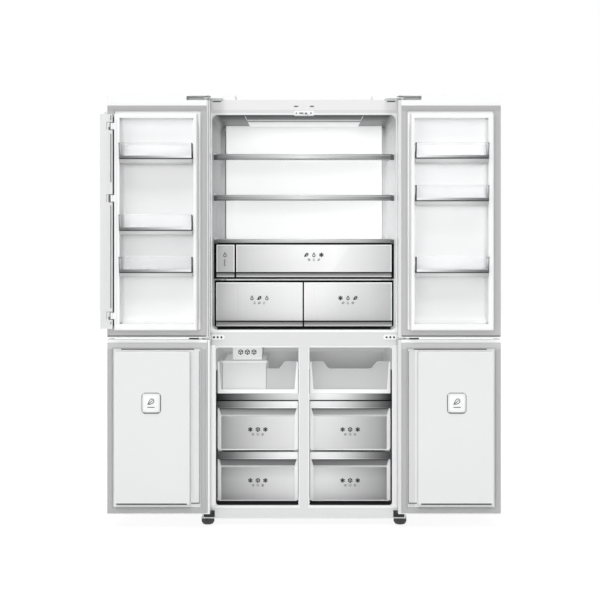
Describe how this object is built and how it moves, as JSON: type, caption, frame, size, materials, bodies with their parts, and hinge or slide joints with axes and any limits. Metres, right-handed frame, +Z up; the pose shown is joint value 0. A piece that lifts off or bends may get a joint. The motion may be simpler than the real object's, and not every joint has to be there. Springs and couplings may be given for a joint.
{
  "type": "american fridge freezer",
  "caption": "Tall white fridge freezer with cross-arranged doors standing open, glass shelves and clear door bins above, freezer trays and drawers below.",
  "frame": {"origin": "on the floor, at the middle of the part's box with its doors open", "axes": "+Z up, +Y from the doors to the back, +X to the right as seen from the front"},
  "size_m": [1.755, 0.7798, 1.922],
  "materials": {
    "white_paint": "smooth white paint",
    "white_plastic": "white moulding",
    "silver_plastic": "silver satin front, pale tub",
    "filter_plastic": "satin white",
    "lamp_plastic": "frosted diffuser",
    "clear_plastic": "clear",
    "shelf_glass": "clear toughened",
    "trim_metal": "bright satin",
    "gasket_rubber": "grey matt",
    "zinc_steel": "zinc plated",
    "dark_steel": "black satin",
    "grey_sheet": "plain grey coat",
    "foam": "rigid foam",
    "coil_metal": "mill finish",
    "dark_plastic": "moulded"
  },
  "bodies": {
    "cabinet": {"outer_case": "white_paint", "foam_insulation": "foam", "fridge_liner": "white_plastic", "freezer_liner": "white_plastic", "rear_panel": "grey_sheet", "base_plate": "zinc_steel", "machine_room_cover": "grey_sheet", "compressor": "dark_steel", "evaporator_coils": "coil_metal", "fridge_duct_panel": "white_plastic", "ceiling_lamp": "lamp_plastic", "mullion_guide": "white_plastic", "drawer_partition": "white_plastic", "glass_shelves": "shelf_glass", "crisper_cover": "shelf_glass", "freezer_shelves": "shelf_glass", "shelf_trims": "trim_metal", "ice_maker": "white_plastic", "freezer_duct_covers": "white_plastic", "top_hinges": "zinc_steel", "hinge_covers": "white_plastic", "middle_hinges": "zinc_steel", "bottom_hinges": "dark_steel", "hinge_screws": "zinc_steel"},
    "upper_left_door": {"upper_left_door_panel": "white_paint", "upper_left_door_liner": "white_plastic", "upper_left_door_gasket": "gasket_rubber", "upper_left_door_bins": "clear_plastic", "upper_left_bin_trims": "trim_metal", "mullion_brackets": "zinc_steel"},
    "lower_left_door": {"lower_left_door_panel": "white_paint", "lower_left_door_liner": "white_plastic", "lower_left_door_gasket": "gasket_rubber", "lower_left_filter_cap": "filter_plastic"},
    "upper_right_door": {"upper_right_door_panel": "white_paint", "upper_right_door_liner": "white_plastic", "upper_right_door_gasket": "gasket_rubber", "upper_right_door_bins": "clear_plastic", "upper_right_bin_trims": "trim_metal"},
    "lower_right_door": {"lower_right_door_panel": "white_paint", "lower_right_door_liner": "white_plastic", "lower_right_door_gasket": "gasket_rubber", "lower_right_filter_cap": "filter_plastic"},
    "centre_beam": {"flip_mullion": "white_plastic"},
    "water_tank": {"water_tank": "silver_plastic"},
    "wide_drawer": {"wide_drawer": "silver_plastic"},
    "lower_left_drawer": {"lower_left_drawer": "silver_plastic"},
    "lower_right_drawer": {"lower_right_drawer": "silver_plastic"},
    "left_tray": {"freezer_tray_left": "white_plastic", "ice_box": "clear_plastic"},
    "right_tray": {"freezer_tray_right": "white_plastic"},
    "freezer_middle_left": {"freezer_drawer_middle_left": "silver_plastic"},
    "freezer_middle_right": {"freezer_drawer_middle_right": "silver_plastic"},
    "freezer_bottom_left": {"freezer_drawer_bottom_left": "silver_plastic"},
    "freezer_bottom_right": {"freezer_drawer_bottom_right": "silver_plastic"},
    "foot_left": {"front_foot_left": "dark_plastic"},
    "roller_left": {"rear_roller_left": "dark_plastic"},
    "foot_right": {"front_foot_right": "dark_plastic"},
    "roller_right": {"rear_roller_right": "dark_plastic"}
  },
  "joints": [
    {"name": "upper_left_door_hinge", "type": "hinge", "parent": "cabinet", "child": "upper_left_door", "pos_m": [-0.434, -0.273, 1.379], "axis": [0, 0, -1], "range_deg": [-180, 0]},
    {"name": "lower_left_door_hinge", "type": "hinge", "parent": "cabinet", "child": "lower_left_door", "pos_m": [-0.434, -0.273, 0.455], "axis": [0, 0, -1], "range_deg": [-180, 0]},
    {"name": "upper_right_door_hinge", "type": "hinge", "parent": "cabinet", "child": "upper_right_door", "pos_m": [0.434, -0.273, 1.379], "axis": [0, 0, 1], "range_deg": [-180, 0]},
    {"name": "lower_right_door_hinge", "type": "hinge", "parent": "cabinet", "child": "lower_right_door", "pos_m": [0.434, -0.273, 0.455], "axis": [0, 0, 1], "range_deg": [-180, 0]},
    {"name": "centre_beam_fold", "type": "hinge", "parent": "upper_left_door", "child": "centre_beam", "pos_m": [-0.841, -0.328, 1.354], "axis": [0, 0, 1], "range_deg": [0, 90]},
    {"name": "water_tank_slide", "type": "slide", "parent": "cabinet", "child": "water_tank", "axis": [0, -1, 0], "range_m": [0, 0.25]},
    {"name": "wide_drawer_slide", "type": "slide", "parent": "cabinet", "child": "wide_drawer", "axis": [0, -1, 0], "range_m": [0, 0.28]},
    {"name": "lower_left_drawer_slide", "type": "slide", "parent": "cabinet", "child": "lower_left_drawer", "axis": [0, -1, 0], "range_m": [0, 0.28]},
    {"name": "lower_right_drawer_slide", "type": "slide", "parent": "cabinet", "child": "lower_right_drawer", "axis": [0, -1, 0], "range_m": [0, 0.28]},
    {"name": "left_tray_slide", "type": "slide", "parent": "cabinet", "child": "left_tray", "axis": [0, -1, 0], "range_m": [0, 0.3]},
    {"name": "freezer_middle_left_slide", "type": "slide", "parent": "cabinet", "child": "freezer_middle_left", "axis": [0, -1, 0], "range_m": [0, 0.3]},
    {"name": "freezer_bottom_left_slide", "type": "slide", "parent": "cabinet", "child": "freezer_bottom_left", "axis": [0, -1, 0], "range_m": [0, 0.2]},
    {"name": "right_tray_slide", "type": "slide", "parent": "cabinet", "child": "right_tray", "axis": [0, -1, 0], "range_m": [0, 0.3]},
    {"name": "freezer_middle_right_slide", "type": "slide", "parent": "cabinet", "child": "freezer_middle_right", "axis": [0, -1, 0], "range_m": [0, 0.3]},
    {"name": "freezer_bottom_right_slide", "type": "slide", "parent": "cabinet", "child": "freezer_bottom_right", "axis": [0, -1, 0], "range_m": [0, 0.2]},
    {"name": "foot_left_turn", "type": "hinge", "parent": "cabinet", "child": "foot_left", "pos_m": [-0.432, -0.187, 0.007], "axis": [0, 0, 1], "continuous": true},
    {"name": "roller_left_spin", "type": "hinge", "parent": "cabinet", "child": "roller_left", "pos_m": [-0.38, 0.328, 0.022], "axis": [1, 0, 0], "continuous": true},
    {"name": "foot_right_turn", "type": "hinge", "parent": "cabinet", "child": "foot_right", "pos_m": [0.432, -0.187, 0.007], "axis": [0, 0, 1], "continuous": true},
    {"name": "roller_right_spin", "type": "hinge", "parent": "cabinet", "child": "roller_right", "pos_m": [0.38, 0.328, 0.022], "axis": [1, 0, 0], "continuous": true}
  ]
}
